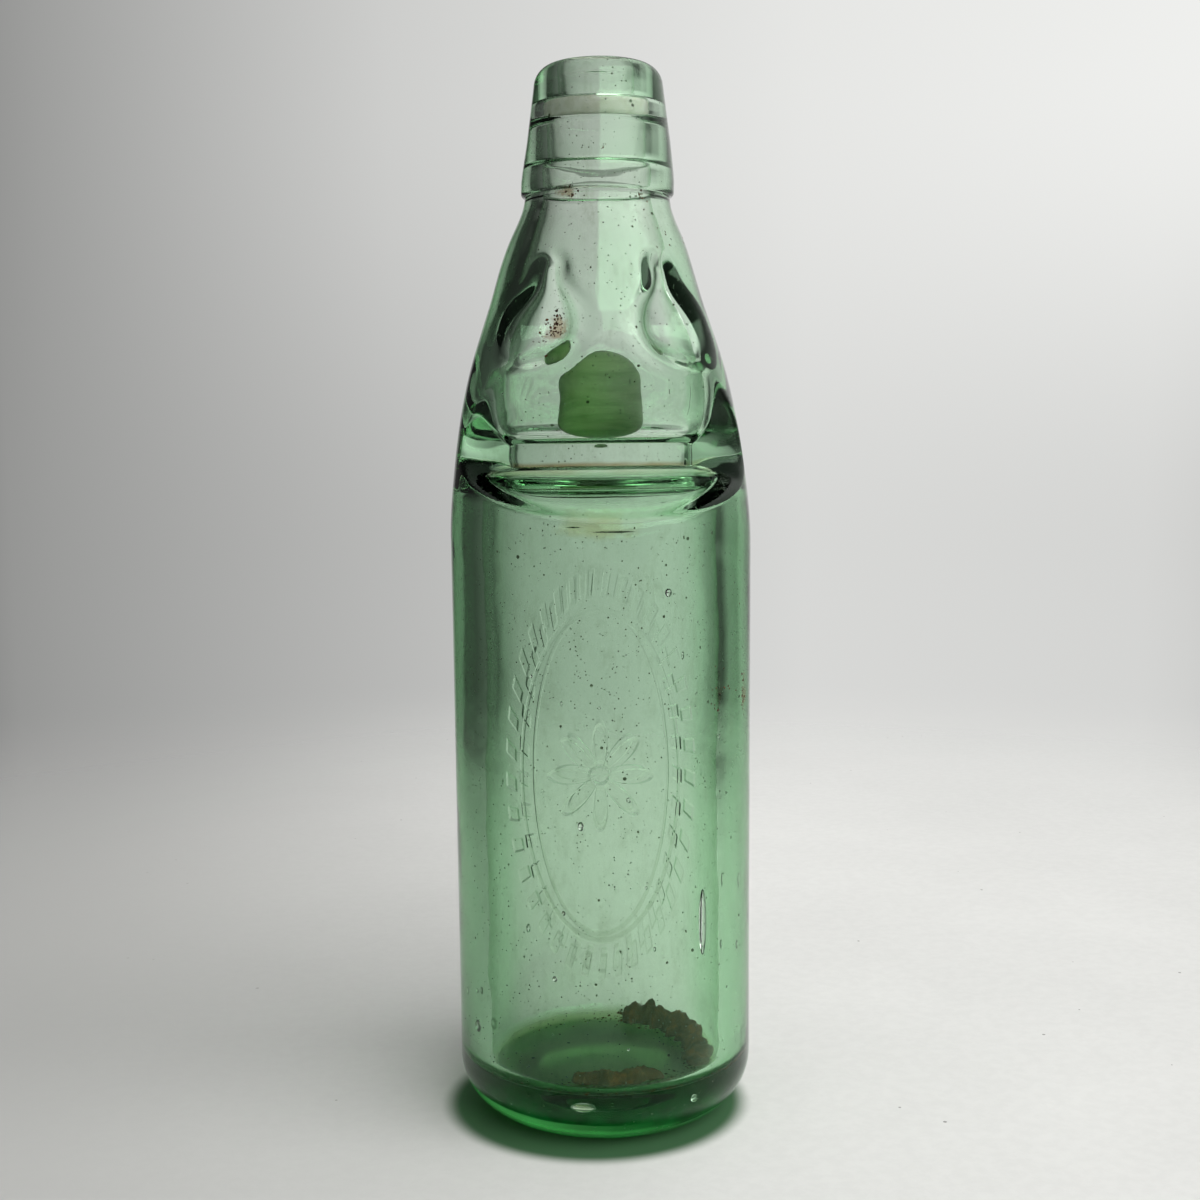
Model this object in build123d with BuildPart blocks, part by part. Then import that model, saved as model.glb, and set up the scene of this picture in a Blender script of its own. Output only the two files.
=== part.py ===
from build123d import *
import os
from math import cos, radians, sin, sqrt

# Marble stopper bottle: one glass bottle, the loose marble in its chamber and the seal ring in its lip.
# Millimetres. +Z is up the axis, the origin is the centre of the foot, and the two lugs face -Y.

# Overall sizes of the glass
bottle_height = 222.0
body_diameter = 64.0
marble_diameter = 18.8

# The body and its foot. The body's share of the height below the finish, the foot's shares of its radius
body_height_share = 0.6359
foot_taper = 0.4
heel_share = 0.375
push_up_height = 2.5
push_up_share = 0.53125

# Glass thickness
body_wall = 7.0
base_thickness = 10.5
floor_corner_radius = 4.0
shoulder_wall = 4.5
neck_wall = 3.9

# The shoulder's outline runs from the body to the neck. Shares of its height and of its drop in radius
shoulder_height_shares = (0.177, 0.356, 0.534, 0.709, 0.884)
shoulder_radius_shares = (0.946, 0.836, 0.655, 0.411, 0.164)

# The finish, which is the thick collar with the lip on top. Its bores are set from the marble
finish_height = 27.0
collar_overhang = 0.8
collar_round = 1.2
lip_setback = 1.7
lip_round = 4.6
mouth_round = 1.0
mouth_hold = 1.55
throat_clearance = 0.7
throat_length = 8.4
neck_bore_step = 1.2
neck_bore_round = 0.6

# The groove inside the lip and the rubber ring in it
groove_drop = 8.0
groove_height = 4.4
groove_undercut = 0.8
ring_clearance = 0.1
ring_inset = 0.25
ring_round = 1.3

# The gap that is left between the marble and what it rests on
marble_gap = 0.15

# The waist, pinched from the front and the back until the marble cannot pass. The pinch is a section
# turned about an upright axis far behind it, so that its face is gently curved in plan. The waist's
# share of the shoulder's height, and the slot's and the plan's shares of the body's diameter
waist_height_share = 0.2535
slot_hold = 3.65
slot_width_share = 0.597
slot_height = 3.4
slot_round = 2.2
slot_brow_angle = 60.0
slot_ceiling_angle = 55.0
waist_wall = 5.2
pinch_plan_share = 0.9375
ledge_slope = 0.585

# The chamber above the waist. Shares of the body's diameter, of its own height and of its half depth
chamber_width_share = 0.69375
chamber_depth_share = 0.65
chamber_widest_share = 0.27
funnel_height_shares = (0.165, 0.28, 0.46)
funnel_depth_shares = (0.538, 0.75, 1.0)
brow_height_share = 0.14
brow_depth_share = 0.36
brow_bulge_height_share = 0.29
brow_bulge_depth_share = 0.845
brow_top_share = 0.48
brow_overshoot = 2.0
brow_flare = 0.2
pinch_round = 4.0

# The body's ceiling, where the bore turns in to the slot
ceiling_round = 7.7
slot_side_height = 1.6

# The two lugs, dents pressed in on the front that hold the marble back when the bottle is poured. Shares
# of the shoulder's height and of the body's diameter
lug_angle = 35.0
lug_height_share = 0.60
lug_length_share = 0.2254
lug_depth_share = 0.125
lug_pit_share = 0.075
lug_tip_radius = 1.5
lug_lean = 6.0
lug_wall = 3.6
lug_round = 1.5
lug_shoulder_shares = (0.45, 0.60)
lug_beside_share = 1.6
lug_beyond_share = 1.3

overrun = 12.0

# Worked out from the sizes above
body_radius = body_diameter / 2
body_bore_radius = body_radius - body_wall
foot_radius = body_radius - foot_taper
heel_radius = body_radius * heel_share
push_up_radius = body_radius * push_up_share
neck_height = bottle_height - finish_height
body_height = neck_height * body_height_share
shoulder_height = neck_height - body_height
marble_radius = marble_diameter / 2
mouth_radius = marble_radius - mouth_hold
throat_radius = marble_radius + throat_clearance
groove_radius = throat_radius + groove_undercut
neck_bore_radius = throat_radius + neck_bore_step
neck_radius = neck_bore_radius + neck_wall
collar_radius = neck_radius + collar_overhang
lip_radius = neck_radius - lip_setback
waist_height = body_height + shoulder_height * waist_height_share
slot_top = waist_height + slot_height / 2
slot_bottom = waist_height - slot_height / 2
slot_width = body_diameter * slot_width_share
slot_half_depth = marble_radius - slot_hold
waist_half_depth = slot_half_depth + waist_wall
pinch_plan_radius = body_diameter * pinch_plan_share
chamber_height = neck_height - slot_top
chamber_width = body_diameter * chamber_width_share
chamber_depth = body_diameter * chamber_depth_share
lug_length = shoulder_height * lug_length_share
lug_depth = body_diameter * lug_depth_share
lug_pit_radius = body_diameter * lug_pit_share
groove_top = bottle_height - groove_drop
groove_bottom = groove_top - groove_height
throat_bottom = groove_bottom - throat_length


def shoulder_points(inset):
    """Points of the shoulder's outline, moved towards the axis by the inset."""
    points = []
    for height_share, radius_share in zip(shoulder_height_shares, shoulder_radius_shares):
        radius = neck_radius + (body_radius - neck_radius) * radius_share
        points.append((radius - inset, body_height + shoulder_height * height_share))
    return points


def shoulder_radius(height):
    """Radius of the shoulder at a height, straight from one point of its outline to the next."""
    points = [(body_radius, body_height), *shoulder_points(0), (neck_radius, neck_height)]
    for (low_radius, low), (high_radius, high) in zip(points, points[1:]):
        if low <= height <= high:
            return low_radius + (high_radius - low_radius) * (height - low) / (high - low)
    return neck_radius


# The outside of the glass: foot, heel, body, shoulder, collar and lip, before the pinch and the dents
with BuildPart() as outside:
    with BuildSketch(Plane.XZ):
        with BuildLine():
            dome = Spline(
                (0, push_up_height),
                (push_up_radius, 0),
                tangents=[(1, 0), (push_up_radius, -push_up_height)],
            )
            foot = Line(dome @ 1, (foot_radius - heel_radius, 0))
            heel = CenterArc((foot_radius - heel_radius, heel_radius), heel_radius, 270, 90)
            wall = Line(heel @ 1, (body_radius, body_height))
            shoulder = Spline(
                wall @ 1,
                *shoulder_points(0),
                (neck_radius, neck_height),
                tangents=[(0, 1), (0, 1)],
            )
            collar_step = Line(shoulder @ 1, (collar_radius, neck_height + collar_round))
            collar_edge = Line(collar_step @ 1, (collar_radius, neck_height + 3 * collar_round))
            collar_side = Line(collar_edge @ 1, (lip_radius, bottle_height - lip_round))
            lip = CenterArc((lip_radius - lip_round, bottle_height - lip_round), lip_round, 0, 90)
            Line(lip @ 1, (0, bottle_height))
            Line((0, bottle_height), dome @ 0)
        make_face()
    revolve(axis=Axis.Z)

# The pinch from outside, front and back: a ledge on the body, a flat face and a brow up to the chamber
brow_top = slot_top + chamber_height * brow_top_share
brow_depth = shoulder_radius(brow_top) + brow_overshoot
with BuildPart() as pinch:
    with BuildSketch(Plane.YZ):
        with BuildLine():
            face = Line((-waist_half_depth, slot_bottom), (-waist_half_depth, slot_top))
            brow = Spline(
                face @ 1,
                (
                    -waist_half_depth - (brow_depth - waist_half_depth) * brow_depth_share,
                    slot_top + chamber_height * brow_height_share,
                ),
                (-brow_depth * brow_bulge_depth_share, slot_top + chamber_height * brow_bulge_height_share),
                (-brow_depth, brow_top),
                tangents=[(0, 1), (-brow_flare, 1)],
            )
            ledge = Line(face @ 0, face @ 0 + Vector(-1, -ledge_slope) * (body_radius + overrun))
            Line(brow @ 1, ((ledge @ 1).X, brow_top))
            Line(((ledge @ 1).X, brow_top), ledge @ 1)
        make_face()
    revolve(axis=Axis((0, pinch_plan_radius, 0), (0, 0, 1)))
    mirror(about=Plane.XZ)

# The web that the pinch leaves inside, front and back, with the slot for the gas and drink between
with BuildPart() as web:
    with BuildSketch(Plane.YZ):
        with BuildLine():
            nose = Line((-slot_half_depth, slot_bottom), (-slot_half_depth, slot_top))
            nose_centre = -slot_half_depth - slot_round
            top_edge = CenterArc((nose_centre, slot_top), slot_round, 0, slot_brow_angle)
            funnel = Spline(
                top_edge @ 1,
                *[
                    (-chamber_depth / 2 * depth_share, slot_top + chamber_height * height_share)
                    for depth_share, height_share in zip(funnel_depth_shares, funnel_height_shares)
                ],
                tangents=[top_edge % 1, (0, 1)],
            )
            under_edge = CenterArc((nose_centre, slot_bottom), slot_round, 0, -slot_ceiling_angle)
            ceiling = Line(under_edge @ 1, under_edge @ 1 + (under_edge % 1) * (body_radius + overrun))
            outer_top = ((ceiling @ 1).X, (funnel @ 1).Y)
            Line(funnel @ 1, outer_top)
            Line(outer_top, ceiling @ 1)
        make_face()
    revolve(axis=Axis((0, pinch_plan_radius, 0), (0, 0, 1)))
    mirror(about=Plane.XZ)


def teardrop(pit_radius, tip_radius):
    """A drop standing on its round end, with its narrow end up, turned about its own axis."""
    full_share, slim_share = lug_shoulder_shares
    with BuildPart() as drop:
        with BuildSketch(Plane.XZ):
            with BuildLine():
                pit = CenterArc((0, 0), pit_radius, 270, 90)
                flank = Bezier(
                    pit @ 1,
                    (pit_radius, lug_length * full_share),
                    (tip_radius, lug_length * slim_share),
                    (tip_radius, lug_length),
                )
                tip = CenterArc(flank @ 1 - (tip_radius, 0), tip_radius, 0, 90)
                Line(tip @ 1, pit @ 0)
            make_face()
        revolve(axis=Axis.Z)
    return drop.part


def lug_plane(side):
    """The plane of one lug's drop: centred on its pit, leaning in with the shoulder."""
    turn = radians(lug_angle)
    lean = radians(lug_lean)
    height = body_height + shoulder_height * lug_height_share
    outward = Vector(side * sin(turn), -cos(turn), 0)
    around = Vector(side * cos(turn), sin(turn), 0)
    reach = shoulder_radius(height) - lug_depth + lug_pit_radius
    up = Vector(0, 0, 1) * cos(lean) - outward * sin(lean)
    return Plane(origin=outward * reach + Vector(0, 0, height), x_dir=around, z_dir=up)


def lug_edges(builder, drop_radius):
    """The edges where two drops of a radius meet the surface that a builder holds, on the front half."""
    planes = [lug_plane(side) for side in (-1, 1)]
    lowest = planes[0].origin.Z - drop_radius

    def beside(edge, plane):
        offset = edge.center() - plane.origin
        along = offset.dot(plane.z_dir)
        aside = (offset - plane.z_dir * along).length
        return aside < drop_radius * lug_beside_share and along < lug_length * lug_beyond_share

    return builder.edges().filter_by(
        lambda edge: edge.geom_type != GeomType.CIRCLE
        and edge.center().Y < -lug_pit_radius
        and edge.center().Z > lowest
        and any(beside(edge, plane) for plane in planes)
    )


# The hollow of the glass: body, slot, chamber, neck, throat, ring groove and mouth
chamber_widest = slot_top + chamber_height * chamber_widest_share
with BuildPart() as hollow:
    with BuildSketch(Plane.XZ):
        with BuildLine():
            floor = Line((0, base_thickness), (body_bore_radius - floor_corner_radius, base_thickness))
            corner_centre = (body_bore_radius - floor_corner_radius, base_thickness + floor_corner_radius)
            corner = CenterArc(corner_centre, floor_corner_radius, 270, 90)
            turn_in = Spline(
                (body_bore_radius, slot_bottom - slot_side_height - ceiling_round),
                (slot_width / 2, slot_bottom - slot_side_height),
                tangents=[(0, 1), (-1, 0)],
            )
            bore = Line(corner @ 1, turn_in @ 0)
            slot_side = Line(turn_in @ 1, (slot_width / 2, slot_top))
            chamber = Spline(
                slot_side @ 1,
                (chamber_width / 2, chamber_widest),
                *shoulder_points(shoulder_wall)[2:],
                (neck_bore_radius, neck_height),
                tangents=[(1, 1), (0, 1)],
            )
            neck_bore = Line(chamber @ 1, (neck_bore_radius, throat_bottom))
            throat_step = Line(neck_bore @ 1, (throat_radius, throat_bottom + neck_bore_round))
            throat = Line(throat_step @ 1, (throat_radius, groove_bottom))
            groove = Polyline(
                throat @ 1,
                (groove_radius, groove_bottom),
                (groove_radius, groove_top),
                (mouth_radius, groove_top),
            )
            mouth = Line(groove @ 1, (mouth_radius, bottle_height - mouth_round))
            mouth_edge = CenterArc(
                (mouth_radius + mouth_round, bottle_height - mouth_round), mouth_round, 180, -90
            )
            clear = Polyline(
                mouth_edge @ 1,
                ((mouth_edge @ 1).X, bottle_height + overrun),
                (0, bottle_height + overrun),
                floor @ 0,
            )
        make_face()
    revolve(axis=Axis.Z)
    add(web.part, mode=Mode.SUBTRACT)
    inner_drop_radius = lug_pit_radius + lug_wall
    with Locations(lug_plane(-1), lug_plane(1)):
        add(teardrop(inner_drop_radius, lug_tip_radius + lug_wall), mode=Mode.SUBTRACT)
    fillet(lug_edges(hollow, inner_drop_radius), radius=lug_round)

# The bottle: the outside less the pinch, the two dents and the hollow, all one piece of glass
with BuildPart() as glass_bottle:
    add(outside.part)
    add(pinch.part, mode=Mode.SUBTRACT)
    pinch_edges = glass_bottle.edges().filter_by(
        lambda edge: body_height < edge.center().Z < neck_height and abs(edge.center().Y) > slot_round
    )
    fillet(pinch_edges, radius=pinch_round)
    with Locations(lug_plane(-1), lug_plane(1)):
        add(teardrop(lug_pit_radius, lug_tip_radius), mode=Mode.SUBTRACT)
    fillet(lug_edges(glass_bottle, lug_pit_radius), radius=lug_round)
    add(hollow.part, mode=Mode.SUBTRACT)
glass_bottle.part.label = "glass_bottle"

# The rubber ring, loose enough in its groove to be pushed in from above
ring_bottom = groove_bottom + ring_clearance
ring_top = groove_top - ring_clearance
ring_inner = mouth_radius + ring_inset
with BuildPart() as seal_ring:
    with BuildSketch(Plane.XZ):
        with BuildLine():
            Polyline(
                (ring_inner, ring_bottom),
                (groove_radius - ring_clearance, ring_bottom),
                (groove_radius - ring_clearance, ring_top),
                (ring_inner, ring_top),
                close=True,
            )
        make_face()
    revolve(axis=Axis.Z)
    inner_edges = seal_ring.edges().filter_by(GeomType.CIRCLE).group_by(SortBy.RADIUS)[0]
    fillet(inner_edges, radius=ring_round)
seal_ring.part.label = "seal_ring"

# The marble at rest on the rounded edges of the slot, and how far it rises to the ring
edge_reach = marble_radius + slot_round + marble_gap
marble_rest = slot_top + sqrt(edge_reach**2 - (slot_half_depth + slot_round) ** 2)
seat_reach = marble_radius + ring_round + marble_gap
marble_seat = ring_bottom + ring_round - sqrt(seat_reach**2 - (ring_inner + ring_round) ** 2)
with BuildPart() as marble:
    with Locations((0, 0, marble_rest)):
        Sphere(marble_radius)
marble.part.label = "marble"

os.makedirs("parts", exist_ok=True)
export_step(glass_bottle.part, "parts/glass_bottle.step")
export_step(seal_ring.part, "parts/seal_ring.step")
export_step(marble.part, "parts/marble.step")
print("marble rests at", round(marble_rest, 3), "and rises by", round(marble_seat - marble_rest, 3))
print("ring from", round(ring_bottom, 3), "to", round(ring_top, 3), "throat from", round(throat_bottom, 3))
print("hollow holds", round(hollow.part.volume / 1000), "ml with its overrun above the lip")
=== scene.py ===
import math

import bpy
import numpy as np
from mathutils import Matrix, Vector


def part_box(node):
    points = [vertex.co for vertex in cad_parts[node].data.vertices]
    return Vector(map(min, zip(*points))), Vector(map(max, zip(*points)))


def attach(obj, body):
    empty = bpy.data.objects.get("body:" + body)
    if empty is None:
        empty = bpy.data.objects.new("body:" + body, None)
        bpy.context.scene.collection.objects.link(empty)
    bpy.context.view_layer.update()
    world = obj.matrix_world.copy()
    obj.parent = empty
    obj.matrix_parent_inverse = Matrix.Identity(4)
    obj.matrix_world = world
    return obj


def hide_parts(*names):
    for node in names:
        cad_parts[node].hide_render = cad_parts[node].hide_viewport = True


bl_info = {
    "name": "Marble stopper bottle",
    "version": (1, 0, 0),
    "blender": (4, 5, 0),
    "location": "3D View > Sidebar > Bottle",
    "description": "Makes the old green glass bottle, its marble, ring and deposits, and a studio",
    "category": "Add Mesh",
}

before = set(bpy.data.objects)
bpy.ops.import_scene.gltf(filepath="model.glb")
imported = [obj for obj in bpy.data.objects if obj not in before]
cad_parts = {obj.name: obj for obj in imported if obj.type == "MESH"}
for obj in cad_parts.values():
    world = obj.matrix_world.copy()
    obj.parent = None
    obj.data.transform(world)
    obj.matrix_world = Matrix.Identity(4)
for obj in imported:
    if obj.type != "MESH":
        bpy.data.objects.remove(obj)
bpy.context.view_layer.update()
MM = 0.001
FRONT = -90.0  # the two lugs face this way round the axis, in degrees from +X

# The glass, in millimetres: heights up the axis and radii from it
BODY_RADIUS = 32.0
FOOT_RADIUS = 31.6
HEEL_RADIUS = 12.0
SHOULDER_FOOT = 124.0
NECK_TOP = 195.0
NECK_RADIUS = 15.2
TOP = 222.0
COLLAR_RADIUS, COLLAR_TOP = 16.0, 198.6
LIP_RADIUS, LIP_FOOT = 13.5, 217.4
# Points of the shoulder: share of the way up it, and share of its width that is left there
SHOULDER_SHARES = ((0.177, 0.946), (0.356, 0.836), (0.534, 0.655), (0.709, 0.411), (0.884, 0.164))
WALL = 4.5  # the wall's thickness in the shoulder
# The pinch bows about an upright axis this far behind the bottle, and its inside, the web, about a nearer
PINCH_PLAN_RADIUS = 150.0
PLAN_RADIUS = 60.0
FACE_HALF = 10.95  # the pinch's flat face
LEDGE_BACK = 138.2  # where the ledge meets the face
LEDGE_SLOPE = 0.45
DOME_FOOT, DOME_TOP = 121.0, 134.3
SLOT_HALF = 5.75  # half the slot's width
SLOT_LONG_HALF = 19.1
SLOT_ROUND = 0.8
SLOT_HIGH = 144.1  # where the slot's flat sides end
CHAMBER_FOOT = 143.7
HOLLOW_RADIUS = 25.0
HOLLOW_TOP = 131.0  # where its straight wall ends
WEB_FOOT = 118.0  # where the pinch and the lugs start to cut the hollow
FLOOR = 10.5
FLOOR_ROUND = 4.0
FLOOR_EDGE = 21.2  # where dirt on the floor starts to climb the wall
PUSH_UP = 2.5
NECK_BORE = 11.3
MOUTH_RADIUS = 7.85
PIT_RADIUS_FROM_AXIS = 21.45
PIT_HEIGHT = 168.0
PIT_ANGLE = 35.0
PIT_LENGTH = 10.5
LUG_LEAN = math.radians(6.0)
# A lug outside and inside the wall: half widths of its pit and its tip, and how much wider it is spread
LUG_OUTSIDE = (4.8, 1.5, 1.12)
LUG_INSIDE = (7.6, 4.0, 0.9)
MARBLE_RADIUS = 9.4


# ---------------------------------------------------------------- numbers and curves

def clamped_curve(points, first_slope, last_slope, at):
    """The value at each height: the smoothest cubic through (value, height) points with set end slopes."""
    points = np.asarray(points, float)
    value, height = points[:, 0], points[:, 1]
    gap = np.diff(height)
    rise = np.diff(value) / gap
    count = len(height)
    system = np.zeros((count, count))
    right = np.zeros(count)
    system[0, 0] = system[-1, -1] = 1.0
    right[0], right[-1] = first_slope, last_slope
    middle = np.arange(1, count - 1)
    system[middle, middle - 1] = 1 / gap[:-1]
    system[middle, middle] = 2 * (1 / gap[:-1] + 1 / gap[1:])
    system[middle, middle + 1] = 1 / gap[1:]
    right[middle] = 3 * (rise[:-1] / gap[:-1] + rise[1:] / gap[1:])
    slope = np.linalg.solve(system, right)
    at = np.asarray(at, float)
    k = np.clip(np.searchsorted(height, at) - 1, 0, count - 2)
    t = (at - height[k]) / gap[k]
    return (
        (2 * t**3 - 3 * t**2 + 1) * value[k]
        + (t**3 - 2 * t**2 + t) * gap[k] * slope[k]
        + (3 * t**2 - 2 * t**3) * value[k + 1]
        + (t**3 - t**2) * gap[k] * slope[k + 1]
    )


def soft_min(a, b, width):
    """The smaller of two surfaces, with the edge between them rounded over a width."""
    share = np.clip(0.5 + 0.5 * (b - a) / width, 0, 1)
    return b + (a - b) * share - width * share * (1 - share)


def soft_step(low, high, value):
    """0 below low, 1 above high, and a smooth S between."""
    t = np.clip((value - low) / (high - low), 0, 1)
    return t * t * (3 - 2 * t)


def ripple(seed, turn, height, waves, turns, pitch):
    """A slow uneven field between about -1 and 1: sines round the axis and up it, with seeded phases."""
    rng = np.random.default_rng(seed)
    total = 0.0
    for _ in range(waves):
        around = rng.integers(1, turns + 1)
        upward = rng.uniform(0.4, 1.0) / pitch
        total = total + rng.uniform(0.5, 1.0) * np.sin(
            around * turn + 2 * math.pi * upward * height + rng.uniform(0, 6.3)
        ) * np.cos(2 * math.pi * upward * 0.6 * height + rng.uniform(0, 6.3))
    return total / (0.55 * waves)


# ---------------------------------------------------------------- the glass as radii

def shoulder_points():
    """Radii and heights on the shoulder's outline, from its shares of the way up and in."""
    wide, tall = BODY_RADIUS - NECK_RADIUS, NECK_TOP - SHOULDER_FOOT
    return [(NECK_RADIUS + wide * r, SHOULDER_FOOT + tall * z) for z, r in SHOULDER_SHARES]


def outer_plain(height):
    """Radius of the shoulder's outline at a height, before the pinch and the dents."""
    points = [(BODY_RADIUS, SHOULDER_FOOT), *shoulder_points(), (NECK_RADIUS, NECK_TOP)]
    return clamped_curve(points, 0.0, 0.0, height)


def inner_plain(height):
    """Radius of the marble chamber at a height, before the web and the lugs."""
    points = [(SLOT_LONG_HALF, CHAMBER_FOOT), (22.2, 157.55)]
    points += [(radius - WALL, at) for radius, at in shoulder_points()[2:]]
    points.append((NECK_BORE, NECK_TOP))
    return clamped_curve(points, 1.0, 0.0, height)


def pinch_depth(height, round_share):
    """How far the pinch's outside stands from the axis at a height: sloping ledge, flat face, curved brow.
    A share of 1 rounds the face out, as at its two ends."""
    ledge = FACE_HALF + (LEDGE_BACK - height) / LEDGE_SLOPE
    ledge = -soft_min(-ledge, np.full_like(height, -FACE_HALF), 2.0)
    first, last = 144.0, 168.3
    brow_points = [(FACE_HALF, first), (16.4, 150.9), (22.05, 158.6), (26.1, last)]
    brow = clamped_curve(brow_points, 0.15, 0.25, np.clip(height, first, last))
    brow = brow + np.clip(height - last, 0, None) * 0.6
    flat = ledge + brow - FACE_HALF
    bowed = np.sqrt(36.0 + np.clip(LEDGE_BACK + 3.0 - height, 0, None) ** 2 * 3.2) - 6.0
    bowed = bowed + np.sqrt(36.0 + np.clip(height - LEDGE_BACK - 3.0, 0, None) ** 2 * 1.1) - 6.0
    return flat + (FACE_HALF + bowed - flat) * round_share


def web_depth(height):
    """How far the web's inside stands from the axis: domed ceiling of the body, slot, chamber's funnel."""
    share = np.clip((height - DOME_FOOT) / (DOME_TOP - DOME_FOOT), 0, 1)
    ceiling = SLOT_HALF + (25.4 - SLOT_HALF) * np.sqrt(1 - share**3) + np.clip(DOME_FOOT - height, 0, None)
    first, last, slope = SLOT_HIGH + 0.9, 167.3, 1.25
    funnel_points = [(SLOT_HALF + 1.1, first), (11.19, 152.0), (15.6, 158.06), (20.8, last)]
    funnel = clamped_curve(funnel_points, slope, 0.0, np.clip(height, first, last))
    funnel = funnel + np.clip(height - first, None, 0) * slope
    side = np.full_like(height, SLOT_HALF)
    lower = -soft_min(-ceiling, -side, SLOT_ROUND)
    upper = -soft_min(-funnel, -side, SLOT_ROUND)
    return lower + upper - SLOT_HALF


def turned_reach(depth, turn, side, far):
    """Radius from the bottle's axis, at a turn, of a surface at a depth that is turned about a far upright
    axis: r = u.c + sqrt((u.c)^2 - c^2 + (c + depth)^2), with u the direction and c the far axis."""
    along = side * far * np.sin(turn)
    return along + np.sqrt(np.clip(along**2 - far**2 + (far + depth) ** 2, 0, None))


def lug_reach(turn, height, side, pit, tip, spread):
    """Radius from the bottle's axis of one lug: a drop with a round pit and a narrow upper end, leaning in
    with the shoulder, seen from the axis, spread wider than deep. Its flanks run out straight."""
    middle = math.radians(FRONT + side * PIT_ANGLE)
    up = height - PIT_HEIGHT
    centre = PIT_RADIUS_FROM_AXIS - math.tan(LUG_LEAN) * up
    t = np.linspace(0, 1, 60)
    curve_r = (1 - t) ** 3 * pit + 3 * (1 - t) ** 2 * t * pit + 3 * (1 - t) * t**2 * tip + t**3 * tip
    curve_z = PIT_LENGTH * (3 * (1 - t) ** 2 * t * 0.45 + 3 * (1 - t) * t**2 * 0.60 + t**3)
    half = np.interp(up, curve_z, curve_r)
    beyond = np.where(up < 0, up, np.clip(up - PIT_LENGTH, 0, None))
    aside = centre * np.sin(np.clip(turn - middle, -1.5, 1.5))
    share = np.sqrt(aside**2 + beyond**2) / (half * spread)
    inside = 1 - np.sqrt(1 - np.clip(share, 0, 0.8) ** 2)
    return centre - half + half * spread * (inside + np.clip(share - 0.8, 0, None) * 1.333)


def sideways(height, outside):
    """The slight bend of the hand finished top, along X: the shoulder leans one way and the lip back."""
    bend = np.interp(height, [0, 122, 150, 180, 196, 206, TOP], [0, 0, -0.3, -0.45, -0.05, 0.3, 0.35])
    if outside:
        return bend
    return np.where(height > 190, np.clip((205 - height) / 15, 0, 1) * -0.25, bend * 0.8)


def outside_radius(base, height, turn, wander):
    """Radius of the glass outside: its outline, cut by the front and back pinch and by the two lugs."""
    radius = base + 0.0 * turn
    in_shoulder = (height > SHOULDER_FOOT - 6) & (height < NECK_TOP)
    pinched = radius
    rounding = 1.4 + 6.0 * soft_step(134, 148, height)
    for side in (1, -1):
        face = turned_reach(np.full_like(height, FACE_HALF), turn, side, PINCH_PLAN_RADIUS)
        aside = np.abs(face * np.cos(turn))
        depth = pinch_depth(height, soft_step(18.0, 24.0, aside))
        pinched = soft_min(pinched, turned_reach(depth, turn, side, PINCH_PLAN_RADIUS), rounding)
    for side in (-1, 1):
        pinched = soft_min(pinched, lug_reach(turn, height, side, *LUG_OUTSIDE), 3.4)
    radius = np.where(in_shoulder, pinched, radius)
    fade = soft_step(14, 30, height) * (1 - soft_step(172, 192, height))
    waves = 0.045 * ripple(11, turn, height, 7, 5, 46.0) + 0.02 * ripple(12, turn, height, 6, 11, 21.0)
    return np.minimum(radius + (waves - 0.06) * fade * wander, BODY_RADIUS)


def inside_radius(base, height, turn, wander):
    """Radius of the hollow: its outline, cut by the front and back web and by the insides of the lugs."""
    radius = base + 0.0 * turn
    in_chamber = (height > WEB_FOOT) & (height < NECK_TOP)
    depth = web_depth(height)
    rounding = 1.4 + 4.0 * soft_step(142, 150, height)
    webbed = radius
    for side in (1, -1):
        webbed = soft_min(webbed, turned_reach(depth, turn, side, PLAN_RADIUS), rounding)
    for side in (-1, 1):
        webbed = soft_min(webbed, lug_reach(turn, height, side, *LUG_INSIDE), 5.0)
    radius = np.where(in_chamber, webbed, radius)
    fade = soft_step(12, 34, height) * (1 - soft_step(120, 134, height))
    neck = soft_step(150, 162, height) * (1 - soft_step(186, 198, height))
    waves = 0.22 * ripple(21, turn, height, 7, 3, 75.0) + 0.05 * ripple(22, turn, height, 6, 9, 24.0)
    return radius + waves * wander * (fade + 0.4 * neck)


def column_turns(count):
    """Angles of the grid's columns, closer together at the lugs and at the two sides of the slot."""
    fine = np.linspace(-math.pi, math.pi, 7201)
    degrees = np.degrees(fine)
    need = np.ones_like(fine)
    places = [(FRONT - PIT_ANGLE, 15, 0.9), (FRONT + PIT_ANGLE, 15, 0.9)]
    places += [(middle, 26, 0.35) for middle in (0, 180, -180)]
    for middle, width, extra in places:
        need += extra * np.exp(-(((degrees - middle) / width) ** 2))
    total = np.concatenate([[0], np.cumsum((need[1:] + need[:-1]) / 2)])
    return np.interp(np.arange(count) * total[-1] / count, total, fine)


def arc(centre_r, centre_z, radius, start, end, count):
    """Points (r, z) of an arc in the profile, both ends included."""
    angle = np.radians(np.linspace(start, end, count))
    return centre_r + radius * np.cos(angle), centre_z + radius * np.sin(angle)


def run(start, end, count):
    """Points (r, z) of a straight stretch of the profile, without its two ends."""
    t = np.linspace(0, 1, count + 2)[1:-1]
    return start[0] + (end[0] - start[0]) * t, start[1] + (end[1] - start[1]) * t


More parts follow.
